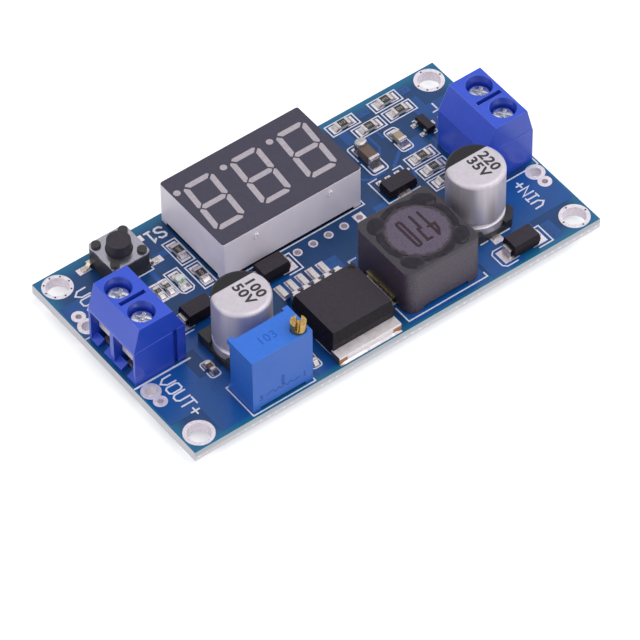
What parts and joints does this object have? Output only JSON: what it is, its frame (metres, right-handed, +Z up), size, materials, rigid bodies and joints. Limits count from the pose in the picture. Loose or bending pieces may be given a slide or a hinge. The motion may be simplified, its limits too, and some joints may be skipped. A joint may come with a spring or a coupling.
{
  "type": "boost converter module",
  "caption": "Step-up converter board with a screw terminal block at each end, a digit display, a push switch, a trimmer, a shielded inductor and can capacitors.",
  "frame": {"origin": "middle of the mounting-hole pattern, on the board's underside", "axes": "+X along the board towards the input block, +Y across it towards the display, +Z up from its face"},
  "size_m": [0.066, 0.036, 0.0138],
  "materials": {
    "board": "semi-gloss blue mask",
    "tin": "tinned copper",
    "solder": "bright solder",
    "terminal_plastic": "blue",
    "plated_steel": "plated",
    "screw_steel": "nickel plated",
    "display_white": "white",
    "display_dark": "printed film",
    "display_light": "translucent",
    "circuit_green": "mask",
    "moulding": "moulding compound",
    "black_plastic": "black",
    "can": "satin",
    "ferrite": "ground ferrite",
    "copper_wire": "enamelled",
    "resin": "cast",
    "terminal_gold": "plated",
    "trimmer_plastic": "light blue",
    "brass": "turned",
    "nylon": "natural",
    "ceramic_white": "ceramic",
    "resistor": "glazed",
    "ceramic": "fired",
    "indicator": "clear"
  },
  "bodies": {
    "module": {"board": "board", "solder_pads": "tin", "solder_joints": "solder", "display_housing": "display_white", "display_face": "display_dark", "display_segments": "display_light", "display_circuit": "circuit_green", "display_pins": "tin", "controller_body": "moulding", "controller_leads": "tin", "switch_base": "black_plastic", "switch_cover": "plated_steel", "switch_dome": "plated_steel", "switch_leads": "tin", "inductor_shield": "ferrite", "inductor_core": "ferrite", "inductor_winding": "copper_wire", "inductor_resin": "resin", "inductor_terminals": "terminal_gold", "regulator_body": "moulding", "regulator_tab": "tin", "regulator_leads": "tin", "trimmer_housing": "trimmer_plastic", "trimmer_element": "ceramic_white", "trimmer_pins": "tin", "trimmer_potting": "resin", "diode_bodies": "moulding", "diode_leads": "tin", "ldo_body": "moulding", "ldo_leads": "tin", "transistor_body": "moulding", "transistor_leads": "tin", "resistor_bodies": "resistor", "resistor_ends": "tin", "ceramic_bodies": "ceramic", "ceramic_ends": "tin", "indicator_body": "indicator", "indicator_ends": "tin", "output_block_housing": "terminal_plastic", "output_block_contacts": "plated_steel", "output_capacitor_can": "can", "output_capacitor_base": "black_plastic", "output_capacitor_leads": "tin", "input_block_housing": "terminal_plastic", "input_block_contacts": "plated_steel", "input_capacitor_can": "can", "input_capacitor_base": "black_plastic", "input_capacitor_leads": "tin"},
    "plunger": {"switch_plunger": "black_plastic"},
    "trimmer_screw": {"trimmer_screw": "brass"},
    "trimmer_wheel": {"trimmer_wheel": "nylon", "trimmer_wiper": "brass"},
    "output_leaf_1": {"output_leaf_1": "plated_steel"},
    "output_screw_1": {"output_screw_1": "screw_steel"},
    "output_leaf_2": {"output_leaf_2": "plated_steel"},
    "output_screw_2": {"output_screw_2": "screw_steel"},
    "input_leaf_1": {"input_leaf_1": "plated_steel"},
    "input_screw_1": {"input_screw_1": "screw_steel"},
    "input_leaf_2": {"input_leaf_2": "plated_steel"},
    "input_screw_2": {"input_screw_2": "screw_steel"}
  },
  "joints": [
    {"name": "button", "type": "slide", "parent": "module", "child": "plunger", "axis": [0, 0, -1], "range_m": [0, 0.0002], "stiffness_N_per_m": 5000, "deforming": ["switch_dome"]},
    {"name": "trimmer_turn", "type": "hinge", "parent": "module", "child": "trimmer_screw", "pos_m": [-0.01494, -0.01598, 0.01], "axis": [0, 0, 1], "range_deg": [-4500, 4500]},
    {"name": "trimmer_wheel_turn", "type": "hinge", "parent": "module", "child": "trimmer_wheel", "pos_m": [-0.01805, -0.01598, 0.00585], "axis": [0, 1, 0], "range_deg": [-150.5, 150.5]},
    {"name": "output_leaf_1_travel", "type": "slide", "parent": "module", "child": "output_leaf_1", "axis": [0, 0, 1], "range_m": [-0.001, 0.001]},
    {"name": "output_screw_1_turn", "type": "hinge", "parent": "output_leaf_1", "child": "output_screw_1", "pos_m": [-0.0293, -0.00184, 0.006], "axis": [0, 0, 1], "range_deg": [-721, 721]},
    {"name": "output_leaf_2_travel", "type": "slide", "parent": "module", "child": "output_leaf_2", "axis": [0, 0, 1], "range_m": [-0.001, 0.001]},
    {"name": "output_screw_2_turn", "type": "hinge", "parent": "output_leaf_2", "child": "output_screw_2", "pos_m": [-0.0293, 0.00324, 0.006], "axis": [0, 0, 1], "range_deg": [-721, 721]},
    {"name": "input_leaf_1_travel", "type": "slide", "parent": "module", "child": "input_leaf_1", "axis": [0, 0, 1], "range_m": [-0.001, 0.001]},
    {"name": "input_screw_1_turn", "type": "hinge", "parent": "input_leaf_1", "child": "input_screw_1", "pos_m": [0.0293, -0.00184, 0.006], "axis": [0, 0, 1], "range_deg": [-721, 721]},
    {"name": "input_leaf_2_travel", "type": "slide", "parent": "module", "child": "input_leaf_2", "axis": [0, 0, 1], "range_m": [-0.001, 0.001]},
    {"name": "input_screw_2_turn", "type": "hinge", "parent": "input_leaf_2", "child": "input_screw_2", "pos_m": [0.0293, 0.00324, 0.006], "axis": [0, 0, 1], "range_deg": [-721, 721]}
  ],
  "couplings": [
    {"joint": "trimmer_wheel_turn", "follows": "trimmer_turn", "ratio": 0.033333},
    {"joint": "output_screw_1_turn", "follows": "output_leaf_1_travel", "rad_per_m": 12566},
    {"joint": "output_screw_2_turn", "follows": "output_leaf_2_travel", "rad_per_m": 12566},
    {"joint": "input_screw_1_turn", "follows": "input_leaf_1_travel", "rad_per_m": 12566},
    {"joint": "input_screw_2_turn", "follows": "input_leaf_2_travel", "rad_per_m": 12566}
  ]
}
